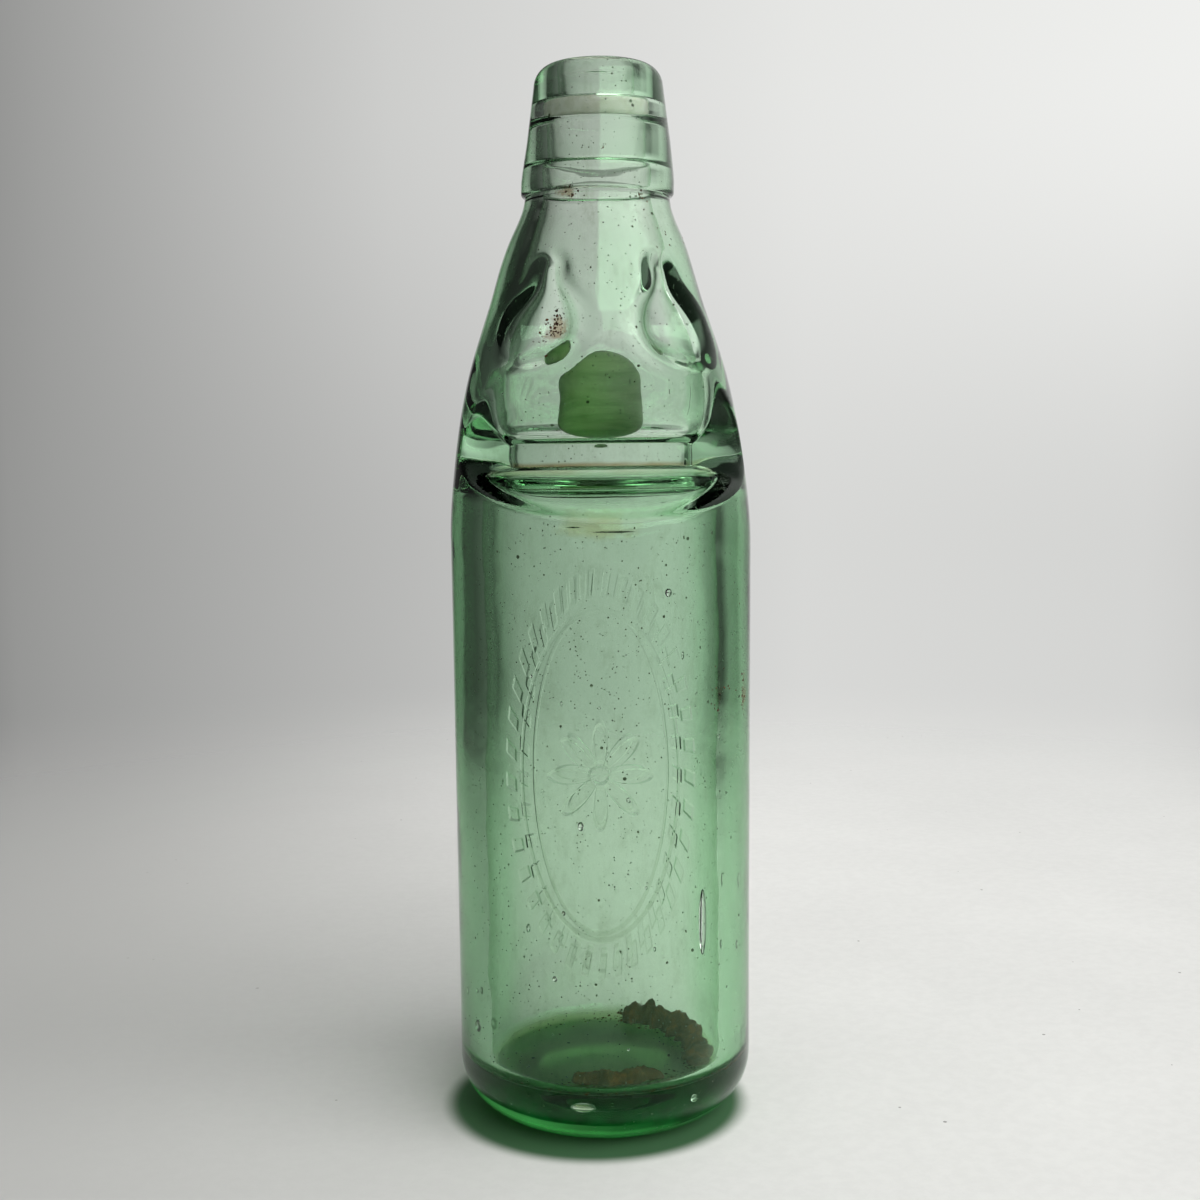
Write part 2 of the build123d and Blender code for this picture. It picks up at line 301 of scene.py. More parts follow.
def outer_profile():
    """Radii and heights of the section's outside, from the middle of the foot to the edge of the mouth."""
    dome_r = np.linspace(1.5, 17, 9)
    shoulder_z = np.concatenate([
        np.linspace(SHOULDER_FOOT, 130, 7), np.arange(130.4, 151, 0.42), np.arange(151.4, 187, 0.72),
        np.linspace(187.6, NECK_TOP, 10),
    ])
    parts = [
        (dome_r, PUSH_UP * (1 - (dome_r / 17) ** 2)),
        run((17, 0), (19.6, 0), 2),
        arc(FOOT_RADIUS - HEEL_RADIUS, HEEL_RADIUS, HEEL_RADIUS, 270, 360, 20),
        run((FOOT_RADIUS, HEEL_RADIUS), (BODY_RADIUS, SHOULDER_FOOT), 38),
        (outer_plain(shoulder_z), shoulder_z),
        arc(NECK_RADIUS, 195.8, 0.8, -90, 0, 4),
        run((COLLAR_RADIUS, 195.8), (COLLAR_RADIUS, COLLAR_TOP), 3),
        run((COLLAR_RADIUS, COLLAR_TOP), (LIP_RADIUS, LIP_FOOT), 14),
        arc(8.9, LIP_FOOT, 4.6, 7.6, 90, 14),
        arc(8.85, TOP - 1.0, 1.0, 90, 180, 6),
    ]
    return np.concatenate(parts, axis=1)


def inner_profile():
    """Radii and heights of the section's inside, from below the mouth's edge to the middle of the floor."""
    chamber_z = np.concatenate([
        np.linspace(NECK_TOP, 187, 8), np.arange(186.4, 160, -0.72), np.arange(159.5, 147, -0.6),
        np.arange(146.8, CHAMBER_FOOT, -0.24),
    ])
    floor_r = np.linspace(20.2, 1.6, 8)
    parts = [
        run((MOUTH_RADIUS, TOP - 1.0), (MOUTH_RADIUS, 214.3), 6),
        arc(8.15, 214.3, 0.3, 180, 270, 3),
        run((8.15, 214), (10.6, 214), 2),
        arc(10.6, 213.7, 0.3, 90, 0, 3),
        run((10.9, 213.7), (10.9, 209.8), 4),
        arc(10.4, 209.8, 0.25, -20, -90, 2),
        run((10.2, 209.5), (10.1, 201.8), 6),
        arc(11.0, 201.7, 0.9, 170, 240, 3),
        arc(10.6, 200.5, 0.7, 60, 0, 3),
        run((NECK_BORE, 200.5), (NECK_BORE, NECK_TOP), 4),
        (inner_plain(chamber_z), chamber_z),
        run((SLOT_LONG_HALF, CHAMBER_FOOT), (SLOT_LONG_HALF, 139.0), 17),
        arc(SLOT_LONG_HALF + 0.4, 139.0, 0.4, 180, 260, 4),
    ]
    turn_in = np.radians(np.linspace(84, 0, 24))
    shoulder_r = SLOT_LONG_HALF + (HOLLOW_RADIUS - SLOT_LONG_HALF) * np.cos(turn_in)
    parts += [
        (shoulder_r, HOLLOW_TOP + 7.7 * np.sin(turn_in)),
        run((HOLLOW_RADIUS, HOLLOW_TOP), (HOLLOW_RADIUS, WEB_FOOT), 18),
        run((HOLLOW_RADIUS, WEB_FOOT), (HOLLOW_RADIUS, FLOOR + FLOOR_ROUND), 36),
        arc(HOLLOW_RADIUS - FLOOR_ROUND, FLOOR + FLOOR_ROUND, FLOOR_ROUND, 0, -90, 9),
        (floor_r, np.full_like(floor_r, FLOOR)),
    ]
    return np.concatenate(parts, axis=1)


# ---------------------------------------------------------------- meshes

def mesh_piece(name, corners, faces, smooth=True):
    """An object at the origin from corner positions in millimetres and faces of three or four corners."""
    mesh = bpy.data.meshes.new(name)
    mesh.from_pydata((np.asarray(corners) * MM).tolist(), [], faces)
    mesh.polygons.foreach_set("use_smooth", np.full(len(mesh.polygons), smooth))
    mesh.update()
    piece = bpy.data.objects.new(name, mesh)
    bpy.context.scene.collection.objects.link(piece)
    return piece


def spun(radius, height, turn):
    """Corners at radii and heights, by rows, turned round the axis, by columns."""
    return np.stack(np.broadcast_arrays(radius * np.cos(turn), radius * np.sin(turn), height), -1)


def wrapped_faces(rows, columns, first=0):
    """Faces of a grid whose columns run all the way round. Where its rows go up, it faces off the axis."""
    row, column = np.meshgrid(np.arange(rows - 1), np.arange(columns), indexing="ij")
    beside = (column + 1) % columns
    low, high = row * columns, (row + 1) * columns
    quads = np.stack([low + column, low + beside, high + beside, high + column], -1)
    return (quads.reshape(-1, 4) + first).tolist()


def fan_faces(pole, ring, columns, at_start):
    """Triangles between a pole and the grid's first or last ring, which starts at a corner number."""
    a = ring + np.arange(columns)
    b = ring + (np.arange(columns) + 1) % columns
    pair = (b, a) if at_start else (a, b)
    return np.stack([np.full(columns, pole), *pair], -1).tolist()


def closed_faces(rows, columns, first=0):
    """Faces of such a grid with a fan over each end, the two poles numbered after the grid's corners."""
    low = first + rows * columns
    fans = fan_faces(low, first, columns, True) + fan_faces(low + 1, low - columns, columns, False)
    return wrapped_faces(rows, columns, first) + fans


def even_turns(columns):
    """Angles evenly all the way round."""
    return np.arange(columns) * 2 * math.pi / columns


def even_tilts(rows):
    """Angles of a ball's rows from the lower pole to the upper, without the two, as a column."""
    return np.linspace(-math.pi / 2, math.pi / 2, rows + 2)[1:-1, None]


def egg_hollow(centre, axes, halves, rows, columns, first):
    """A closed egg that faces inwards: sines and cosines of two angles, times three half lengths along
    three axes."""
    tilt = even_tilts(rows)
    ring = spun(np.cos(tilt), np.sin(tilt), even_turns(columns)).reshape(-1, 3)
    unit = np.concatenate([ring, [[0, 0, -1], [0, 0, 1]]])
    corners = np.asarray(centre) + (unit * np.asarray(halves)) @ axes
    return corners, [face[::-1] for face in closed_faces(rows, columns, first)]


def wall_axes(turn):
    """Three directions on an upright wall at a turn: round it, out of it and up it."""
    c, s = math.cos(turn), math.sin(turn)
    return np.array([[-s, c, 0], [c, s, 0], [0, 0, 1]])


def make_glass(settings):
    """The bottle: the outer and inner profile, each point turned round the axis with the radius that the
    pinch, the lugs and the uneven walls leave at that turn, and egg shaped bubbles inside the wall."""
    columns = settings.columns
    turn = column_turns(columns)[None, :]
    outer_r, outer_z = outer_profile()
    inner_r, inner_z = inner_profile()
    outside = outside_radius(outer_r[:, None], outer_z[:, None] + 0 * turn, turn, settings.waviness)
    inside = inside_radius(inner_r[:, None], inner_z[:, None] + 0 * turn, turn, settings.waviness)
    low = outer_z < 12
    outside[low] = outer_r[low, None]
    radius = np.concatenate([outside, inside])
    height = np.concatenate([outer_z, inner_z])[:, None] + 0 * turn
    shift = np.concatenate([sideways(outer_z, True), sideways(inner_z, False)])[:, None]
    x = np.clip(radius * np.cos(turn) + shift, -BODY_RADIUS, BODY_RADIUS)
    corners = [np.stack([x, radius * np.sin(turn), height], -1).reshape(-1, 3)]
    rows = len(radius)
    corners.append(np.array([[0, 0, PUSH_UP], [0, 0, FLOOR]]))
    faces = closed_faces(rows, columns)
    first = rows * columns + 2
    for degrees, z, depth, wide, tall, thick in BUBBLES:
        angle = math.radians(degrees)
        centre = (depth * math.cos(angle), depth * math.sin(angle), z)
        more, shell = egg_hollow(centre, wall_axes(angle), (wide, thick, tall), 7, 12, first)
        corners.append(more)
        faces += shell
        first += len(more)
    return mesh_piece("bottle_glass_wall", np.concatenate(corners), faces)


# Bubbles in the glass: turn in degrees, height, distance from the axis, half width, half height, half depth
BUBBLES = (
    (-71.1, 114.6, 29.6, 0.75, 0.85, 0.5), (-105.5, 68.2, 29.8, 0.6, 0.95, 0.45),
    (-112.8, 50.1, 29.0, 0.4, 0.5, 0.3), (-116.5, 36.4, 29.4, 0.5, 0.6, 0.4),
    (-158.4, 21.7, 28.8, 1.1, 1.3, 0.9), (-55.3, 46.2, 29.2, 0.95, 7.0, 0.75),
    (-31.4, 38.3, 28.8, 0.4, 1.0, 0.4), (-168.5, 27.7, 28.6, 0.6, 0.9, 0.5),
    (-157.5, 29.5, 29.4, 0.5, 0.5, 0.4), (-106.0, 9.6, 27.6, 2.6, 0.9, 0.8),
    (-59.0, 9.3, 28.4, 0.8, 0.8, 0.7), (-66.0, 131.5, 24.5, 0.5, 0.3, 0.3),
    (-30.0, 52.0, 29.0, 0.3, 1.6, 0.3), (-88.0, 22.0, 29.4, 0.3, 0.3, 0.3),
    (-98.0, 92.0, 28.4, 0.25, 0.3, 0.2), (-80.0, 55.0, 28.0, 0.25, 0.4, 0.2),
    (-125.0, 98.0, 29.0, 0.3, 0.35, 0.2), (-45.0, 84.0, 29.0, 0.25, 0.5, 0.2),
    (35.0, 96.0, 29.2, 0.5, 0.8, 0.4), (70.0, 61.0, 28.6, 0.6, 0.7, 0.4),
    (105.0, 84.0, 29.4, 0.35, 0.6, 0.3), (128.0, 33.0, 28.8, 0.7, 1.0, 0.5),
    (88.0, 110.0, 29.2, 0.4, 0.4, 0.3), (150.0, 70.0, 29.0, 0.4, 1.4, 0.3),
    (55.0, 26.0, 29.0, 0.5, 0.6, 0.4), (15.0, 71.0, 28.8, 0.4, 0.9, 0.3),
)


def make_marble(settings):
    """The marble: a ball whose radius dips a little in slow waves, pressed from one piece of glass."""
    rows, columns = 94, 150
    tilt, turn = even_tilts(rows), even_turns(columns)
    waves = np.sin(3 * tilt + 2 * turn) + np.sin(5 * tilt - turn + 1)
    radius = MARBLE_RADIUS - settings.unevenness * (1 + 0.5 * waves)
    lo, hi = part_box("marble")
    centre = (np.array(lo) + np.array(hi)) / 2 / MM
    ring = spun(radius * np.cos(tilt), radius * np.sin(tilt), turn)
    poles = [[0, 0, -MARBLE_RADIUS + settings.unevenness], [0, 0, MARBLE_RADIUS - settings.unevenness]]
    corners = np.concatenate([ring.reshape(-1, 3), poles]) + centre
    return mesh_piece("stopper_marble", corners, closed_faces(rows, columns))


def make_ring(settings):
    """The seal ring: a rounded section turned round the axis, its inner side worn a little hollow."""
    columns, points = 160, 36
    angle = np.linspace(0, 2 * math.pi, points, endpoint=False)
    power = 0.55
    across = np.sign(np.cos(angle)) * np.abs(np.cos(angle)) ** power
    upward = np.sign(np.sin(angle)) * np.abs(np.sin(angle)) ** power
    middle, centre_z, half_wide, half_tall = 9.45, 211.8, 1.33, 2.08
    hollow = settings.wear * np.where(across < -0.7, 1 - upward**2, 0)
    section_r = middle + half_wide * across + hollow
    section_z = centre_z + half_tall * upward
    turn = even_turns(columns)
    radius = section_r[:, None] + 0.02 * np.sin(5 * turn)[None, :] - 0.02
    corners = spun(radius, section_z[:, None], turn).reshape(-1, 3)
    here = np.arange(columns)
    beside, top = (here + 1) % columns, (points - 1) * columns
    last = np.stack([top + here, top + beside, beside, here], -1).tolist()
    return mesh_piece("lip_seal_ring", corners, wrapped_faces(points, columns) + last)


# The crust's stretches: first and last turn in degrees, distance from the axis, half width, height
CRUST = (
    (72.0, 34.0, 21.6, 2.3, 3.6), (42.0, 4.0, 21.2, 2.9, 3.6), (10.0, -32.0, 20.8, 2.9, 2.4),
    (-58.0, -120.0, 17.4, 3.1, 2.8),
)


def make_crust(name, stretches, seed):
    """Dried sediment on the floor: a flat lumpy ridge carried along an arc, its width, height and line
    changed by seeded sines, tapering to nothing at both ends."""
    rng = np.random.default_rng(seed)
    corners, faces, first = [], [], 0
    for start, end, radius, wide, tall in stretches:
        steps, around = max(24, int(abs(end - start) * 1.6)), 16
        t = np.linspace(0.004, 0.996, steps)[:, None]
        turn = np.radians(start + (end - start) * t)
        swell = np.sqrt(np.clip(1 - (2 * t - 1) ** 6, 0.02, 1))
        line = sum(rng.uniform(0.2, 0.5) * np.sin(k * 7 * t + rng.uniform(0, 6)) for k in (1, 2, 3.3))
        sines = (rng.uniform(0.06, 0.16) * np.sin(k * 11 * t + rng.uniform(0, 6)) for k in (1, 1.7, 2.6))
        size = 1 + sum(sines)
        angle = even_turns(around)
        rough = 1 + 0.14 * np.sin(4 * angle + 40 * t) * np.sin(31 * t + 2 * angle)
        rough = rough + rng.uniform(-0.05, 0.05, (steps, around))
        reach = np.minimum(radius + line + wide * swell * size * rough * np.cos(angle), 24.2)
        rise = np.where(np.sin(angle) > 0, tall, 0.12) * swell * size * rough * np.sin(angle)
        slope = np.clip(reach - FLOOR_EDGE, 0, None) ** 2 / 8
        height = FLOOR + 0.14 + np.clip(rise, -0.1, None) + slope
        ring = spun(reach, height, turn)
        ends = ring[[0, -1]].mean(1)
        corners += [ring.reshape(-1, 3), ends]
        faces += [face[::-1] for face in closed_faces(steps, around, first)]
        first += steps * around + 2
    return mesh_piece(name, np.concatenate(corners), faces)


def make_grains(name, centres, normals, sizes, seed):
    """Many small grains: a six cornered double pyramid each, stretched, turned and pressed flat on a
    wall."""
    rng = np.random.default_rng(seed)
    count = len(centres)
    unit = np.array([[1, 0, 0], [0, 1, 0], [-1, 0, 0], [0, -1, 0], [0, 0, 1], [0, 0, -1.0]])
    here = np.arange(4)
    beside = (here + 1) % 4
    upper, lower = [here, beside, 0 * here + 4], [beside, here, 0 * here + 5]
    triangles = np.concatenate([np.stack(upper, -1), np.stack(lower, -1)])
    normals = normals / np.linalg.norm(normals, axis=1, keepdims=True)
    helper = np.where(np.abs(normals[:, 2:]) > 0.8, [[1.0, 0, 0]], [[0, 0, 1.0]])
    side = np.cross(helper, normals)
    side /= np.linalg.norm(side, axis=1, keepdims=True)
    along = np.cross(normals, side)
    spin = rng.uniform(0, 2 * math.pi, (count, 1))
    first = np.cos(spin) * side + np.sin(spin) * along
    second = np.cross(normals, first)
    stretch = rng.uniform(0.5, 1.4, (count, 2)) * sizes[:, None]
    flat = sizes * rng.uniform(0.25, 0.5, count)
    spread = unit[None] * np.stack([stretch[:, 0], stretch[:, 1], flat], -1)[:, None, :]
    jitter = 1 + rng.uniform(-0.25, 0.25, (count, 6, 1))
    corners = centres[:, None, :] + (spread * jitter) @ np.stack([first, second, normals], 1)
    faces = triangles[None] + 6 * np.arange(count)[:, None, None]
    return mesh_piece(name, corners.reshape(-1, 3), faces.reshape(-1, 3).tolist(), smooth=False)


# Lumps on the crust: first and last turn in degrees, distance from the axis, how many
LUMPS = ((36.0, 74.0, 21.6, 26), (2.0, 40.0, 21.0, 60), (-32.0, 6.0, 20.6, 60), (-116.0, -60.0, 17.2, 64))


def floor_grains(seed, count, stretches):
    """Where loose grains lie on the inner floor: thick at the right and the back, thin elsewhere, and
    larger lumps heaped along the crust."""
    rng = np.random.default_rng(seed)
    turn = np.radians(rng.normal(-10, 60, count))
    reach = np.clip(24.0 - np.abs(rng.normal(0, 3.2, count)), 2, 24.0)
    lift, size = np.zeros(count), rng.uniform(0.12, 0.42, count)
    for start, end, line, lumps in stretches:
        turn = np.concatenate([turn, np.radians(rng.uniform(start, end, lumps))])
        aside = rng.normal(0, 1.4, lumps)
        reach = np.concatenate([reach, np.clip(line + aside, 2, 22.6)])
        lift = np.concatenate([lift, rng.uniform(0.2, 1.0, lumps) * np.clip(2.4 - np.abs(aside), 0, None)])
        size = np.concatenate([size, rng.uniform(0.45, 1.1, lumps)])
    height = FLOOR + 0.12 + np.clip(reach - FLOOR_EDGE, 0, None) ** 2 / 7.5 + lift
    lean = -0.25 * np.clip(reach - 21.5, 0, None)
    return spun(reach, height, turn), spun(lean, np.ones(len(turn)), turn), size


# Clusters of rust: middle turn and height, spread of turn and height, how many
RUST_CLUSTERS = (
    (-127.5, 166.6, 3.4, 1.6, 46), (-125.5, 169.5, 2.2, 1.2, 22), (-117.0, 194.6, 2.2, 0.8, 14),
    (-61.8, 193.9, 3.0, 0.7, 16), (-92.6, 203.2, 1.2, 0.5, 5), (-29.4, 91.9, 1.2, 2.6, 34),
    (-49.8, 92.1, 1.6, 1.4, 8), (-44.0, 98.0, 5.0, 4.0, 12), (-50.0, 187.0, 14.0, 3.0, 10),
)


def rust_grains(seed, wander):
    """Rust specks on the outside of the glass, sunk a little, facing out of the wall by its slopes
    there."""
    rng = np.random.default_rng(seed)
    turn = np.concatenate([np.radians(rng.normal(c[0], c[2], c[4])) for c in RUST_CLUSTERS])
    height = np.concatenate([rng.normal(c[1], c[3], c[4]) for c in RUST_CLUSTERS])
    below = height < SHOULDER_FOOT
    risen = height - HEEL_RADIUS
    upright = FOOT_RADIUS + (BODY_RADIUS - FOOT_RADIUS) * risen / (SHOULDER_FOOT - HEEL_RADIUS)
    step, turn_step, sunk = 0.02, 0.001, 0.03
    curved = (outer_plain(np.clip(height + up, SHOULDER_FOOT, NECK_TOP)) for up in (0, step))
    here, above = (np.where(below, upright, each) for each in curved)
    finish = np.interp(height, [COLLAR_TOP, LIP_FOOT], [COLLAR_RADIUS, LIP_RADIUS])
    here = np.where(height > 196.5, finish, here)
    above = np.where(below, here, above)
    radius = outside_radius(here, height, turn, wander) - sunk
    higher = outside_radius(above, height + step, turn, wander) - sunk
    further = outside_radius(here, height, turn + turn_step, wander) - sunk
    rise = np.clip((higher - radius) / step, -1.5, 1.5)
    drift = np.clip((further - radius) / (turn_step * radius), -1.5, 1.5)
    normals = spun(1.0, -rise, turn) - drift[:, None] * spun(1.0, 0.0, turn + math.pi / 2)
    centres = spun(radius, height, turn) + sideways(height, True)[:, None] * [1.0, 0.0, 0.0]
    return centres, normals, rng.uniform(0.1, 0.36, len(turn))


# ---------------------------------------------------------------- shader helpers

def add(tree, kind, inputs=None, **settings):
    """One node with its settings, and its inputs linked or given values."""
    made = tree.nodes.new(kind)
    for key, value in settings.items():
        setattr(made, key, value)
    for key, value in (inputs or {}).items():
        if isinstance(value, bpy.types.NodeSocket):
            tree.links.new(value, made.inputs[key])
        else:
            made.inputs[key].default_value = value
    return made


def maths(tree, operation, *values, clamp=False):
    """A Math node's result."""
    inputs = dict(enumerate(values))
    return add(tree, "ShaderNodeMath", inputs, operation=operation, use_clamp=clamp).outputs[0]


def times(tree, first, second, clamp=False):
    """The product of two values."""
    return maths(tree, "MULTIPLY", first, second, clamp=clamp)


def plus(tree, first, second, clamp=False):
    """The sum of two values."""
    return maths(tree, "ADD", first, second, clamp=clamp)


def minus(tree, first, second):
    """The first value less the second."""
    return maths(tree, "SUBTRACT", first, second)


def length(tree, first, second):
    """How long a step is that goes two ways at right angles."""
    squares = [maths(tree, "POWER", value, 2.0) for value in (first, second)]
    return maths(tree, "SQRT", plus(tree, *squares))


def noise(tree, place, scale, detail, roughness=0.5):
    """A Noise Texture's value."""
    inputs = {"Vector": place, "Scale": scale, "Detail": detail, "Roughness": roughness}
    return add(tree, "ShaderNodeTexNoise", inputs).outputs["Fac"]


def drawn_out(tree, place, scale):
    """A place with its three axes scaled apart, for noise that runs one way."""
    return add(tree, "ShaderNodeMapping", {"Vector": place, "Scale": scale}).outputs[0]


def ranged(tree, value, low, high, to_low, to_high, how):
    """A value taken from one range to another."""
    inputs = {"Value": value, "From Min": low, "From Max": high, "To Min": to_low, "To Max": to_high}
    return add(tree, "ShaderNodeMapRange", inputs, interpolation_type=how).outputs["Result"]


def stepped(tree, value, low, high, to_low=0.0, to_high=1.0):
    """A smooth step of a value between two levels."""
    return ranged(tree, value, low, high, to_low, to_high, "SMOOTHSTEP")


def blended(tree, share, first, second):
    """A mix of two colours, each a link or three numbers."""
    mix = add(tree, "ShaderNodeMix", data_type="RGBA")
    for socket, value in ((mix.inputs[0], share), (mix.inputs[6], first), (mix.inputs[7], second)):
        if isinstance(value, bpy.types.NodeSocket):
            tree.links.new(value, socket)
        else:
            socket.default_value = value if isinstance(value, float) else (*value, 1.0)
    return mix.outputs[2]


def split(tree, place):
    """The three numbers of a place."""
    return add(tree, "ShaderNodeSeparateXYZ", {0: place}).outputs


def group(name, inputs):
    """An empty shader node group that puts out one mask, and its two ends. An input with no value of its
    own takes three numbers."""
    tree = bpy.data.node_groups.new(name, "ShaderNodeTree")
    for label, value in inputs.items():
        kind = "NodeSocketVector" if value is None else "NodeSocketFloat"
        socket = tree.interface.new_socket(label, in_out="INPUT", socket_type=kind)
        if value is not None:
            socket.default_value = value
    tree.interface.new_socket("Mask", in_out="OUTPUT", socket_type="NodeSocketFloat")
    return tree, tree.nodes.new("NodeGroupInput").outputs, tree.nodes.new("NodeGroupOutput").inputs


def specks_group():
    """Fine dust and seeds: random cells of a fine pattern whose middle shows as a small spot."""
    inputs = {"Vector": None, "Cells per metre": 500.0, "Share of cells": 0.1, "Spot size": 0.16}
    tree, given, out = group("dust_and_seeds", inputs)
    grid = {"Vector": given["Vector"], "Scale": given["Cells per metre"]}
    cells = add(tree, "ShaderNodeTexVoronoi", grid)
    which = add(tree, "ShaderNodeSeparateColor", {"Color": cells.outputs["Color"]})
    chosen = maths(tree, "LESS_THAN", which.outputs[0], given["Share of cells"])
    size = times(tree, given["Spot size"], stepped(tree, which.outputs[1], 0.0, 1.0, 0.35, 1.3))
    spot = maths(tree, "LESS_THAN", cells.outputs["Distance"], size)
    tree.links.new(times(tree, chosen, spot), out["Mask"])
    return tree


def patch_group():
    """A soft patch about a place, with a ragged edge: distance to the place, plus noise, against a size."""
    inputs = {"Vector": None, "Place": None, "Stretch": None, "Raggedness": 0.8}
    tree, given, out = group("ragged_patch", inputs)
    ends = {0: given["Vector"], 1: given["Place"]}
    away = add(tree, "ShaderNodeVectorMath", ends, operation="SUBTRACT").outputs[0]
    ends = {0: away, 1: given["Stretch"]}
    scaled = add(tree, "ShaderNodeVectorMath", ends, operation="MULTIPLY").outputs[0]
    distance = add(tree, "ShaderNodeVectorMath", {0: scaled}, operation="LENGTH").outputs["Value"]
    uneven = noise(tree, given["Vector"], 420.0, 4.0, 0.65)
    ragged = times(tree, minus(tree, uneven, 0.5), given["Raggedness"])
    tree.links.new(stepped(tree, plus(tree, distance, ragged), 1.1, 0.35), out["Mask"])
    return tree


def use(tree, groups, name, **inputs):
    """A shared group placed in a material, with its values by input name."""
    made = tree.nodes.new("ShaderNodeGroup")
    made.node_tree = groups[name]
    for key, value in inputs.items():
        socket = made.inputs[key.replace("_", " ")]
        if isinstance(value, bpy.types.NodeSocket):
            tree.links.new(value, socket)
        else:
            socket.default_value = value
    return made.outputs[0]


def specks(tree, groups, place, cells, share, size):
    """The shared specks, by cells per metre, share of cells and size of spot."""
    given = {"Cells_per_metre": cells, "Share_of_cells": share, "Spot_size": size}
    return use(tree, groups, "specks", Vector=place, **given)


def new_material(name):
    """A material with a Principled shader, and its tree, shader, output and the place on the object, in
    metres."""
    material = bpy.data.materials.new(name)
    material.use_nodes = True
    tree = material.node_tree
    tree.nodes.clear()
    out = tree.nodes.new("ShaderNodeOutputMaterial")
    shader = tree.nodes.new("ShaderNodeBsdfPrincipled")
    tree.links.new(shader.outputs[0], out.inputs["Surface"])
    return material, tree, shader, out, tree.nodes.new("ShaderNodeTexCoord").outputs["Object"]


def dress(tree, shader, colour, rough, height, strength, distance):
    """Link a colour, a roughness and the bump of a height to a shader."""
    bump = add(tree, "ShaderNodeBump", {"Height": height, "Strength": strength, "Distance": distance})
    for key, value in (("Base Color", colour), ("Roughness", rough), ("Normal", bump.outputs[0])):
        tree.links.new(value, shader.inputs[key])


def make_clear(tree, shader, out, transmission, ior, per_metre, density=100.0):
    """Glass by set values: how clear, how strongly it bends light, and its colour through its depth, by
    Volume Absorption, from losses per metre."""
    shader.inputs["Transmission Weight"].default_value = transmission
    shader.inputs["Metallic"].default_value = 0.0
    shader.inputs["IOR"].default_value = ior
    volume = tree.nodes.new("ShaderNodeVolumeAbsorption")
    volume.inputs["Color"].default_value = (*[1 - loss / density for loss in per_metre], 1.0)
    volume.inputs["Density"].default_value = density
    tree.links.new(volume.outputs[0], out.inputs["Volume"])


# ---------------------------------------------------------------- materials

# The ornament, in metres: turn of its middle in radians, its height, and the oval's half width and height
OVAL_TURN = 0.14
OVAL_HEIGHT = 0.0785
OVAL_HALVES = (0.0192, 0.0385)
OVAL_BARS = 37.0
PETAL_LENGTH = 0.0105
# Rusty patches on the glass: place in metres, and how much each axis counts per metre
RUST_PATCHES = (
    ((-0.0102, -0.0142, 0.1672), (330.0, 330.0, 300.0)), ((0.0280, -0.0155, 0.0919), (500.0, 500.0, 240.0)),
    ((-0.0087, -0.0135, 0.1945), (420.0, 420.0, 500.0)),
)


def relief_height(tree, place):
    """Faint raised ornament on the front: an upright oval of slanted short bars with a plain rosette in
    it."""
    x, y, z = split(tree, place)
    turn = maths(tree, "ARCTAN2", x, times(tree, y, -1.0))
    across = times(tree, plus(tree, turn, OVAL_TURN), BODY_RADIUS * MM)
    upward = minus(tree, z, OVAL_HEIGHT)
    wide, tall = (maths(tree, "DIVIDE", value, half) for value, half in zip((across, upward), OVAL_HALVES))
    oval = length(tree, wide, tall)
    band = stepped(tree, maths(tree, "ABSOLUTE", minus(tree, oval, 1.0)), 0.075, 0.045)
    angle = maths(tree, "ARCTAN2", tall, wide)
    slant = plus(tree, times(tree, angle, OVAL_BARS), times(tree, oval, 9.0))
    bars = times(tree, band, stepped(tree, maths(tree, "SINE", slant), 0.05, 0.60))
    line = times(tree, stepped(tree, maths(tree, "ABSOLUTE", minus(tree, oval, 0.86)), 0.022, 0.008), 0.5)
    reach = length(tree, across, upward)
    petals = maths(tree, "COSINE", times(tree, maths(tree, "ARCTAN2", upward, across), 4.0))
    petal = times(tree, maths(tree, "ABSOLUTE", petals), PETAL_LENGTH)
    flower = stepped(tree, minus(tree, reach, petal), 0.0006, -0.0006)
    middle = stepped(tree, reach, 0.0026, 0.0018)
    total = plus(tree, plus(tree, bars, line), minus(tree, flower, middle))
    return times(tree, total, maths(tree, "LESS_THAN", y, 0.0))


def glass_tint(tree, settings, z):
    """The clear glass's own colour: deeper where it is seen at a slant, less green above the chamber."""
    slanted = tree.nodes.new("ShaderNodeLayerWeight").outputs["Facing"]
    upper = stepped(tree, z, 0.165, 0.195)
    straight = blended(tree, upper, (0.985, 0.995, 0.985), (0.990, 0.965, 0.980))
    oblique = blended(tree, upper, (0.60, 0.83, 0.63), (0.94, 0.93, 0.92))
    clear = blended(tree, stepped(tree, slanted, 0.22, 0.52), straight, oblique)
    return blended(tree, stepped(tree, slanted, 0.50, 0.92), clear, tuple(settings.rim))


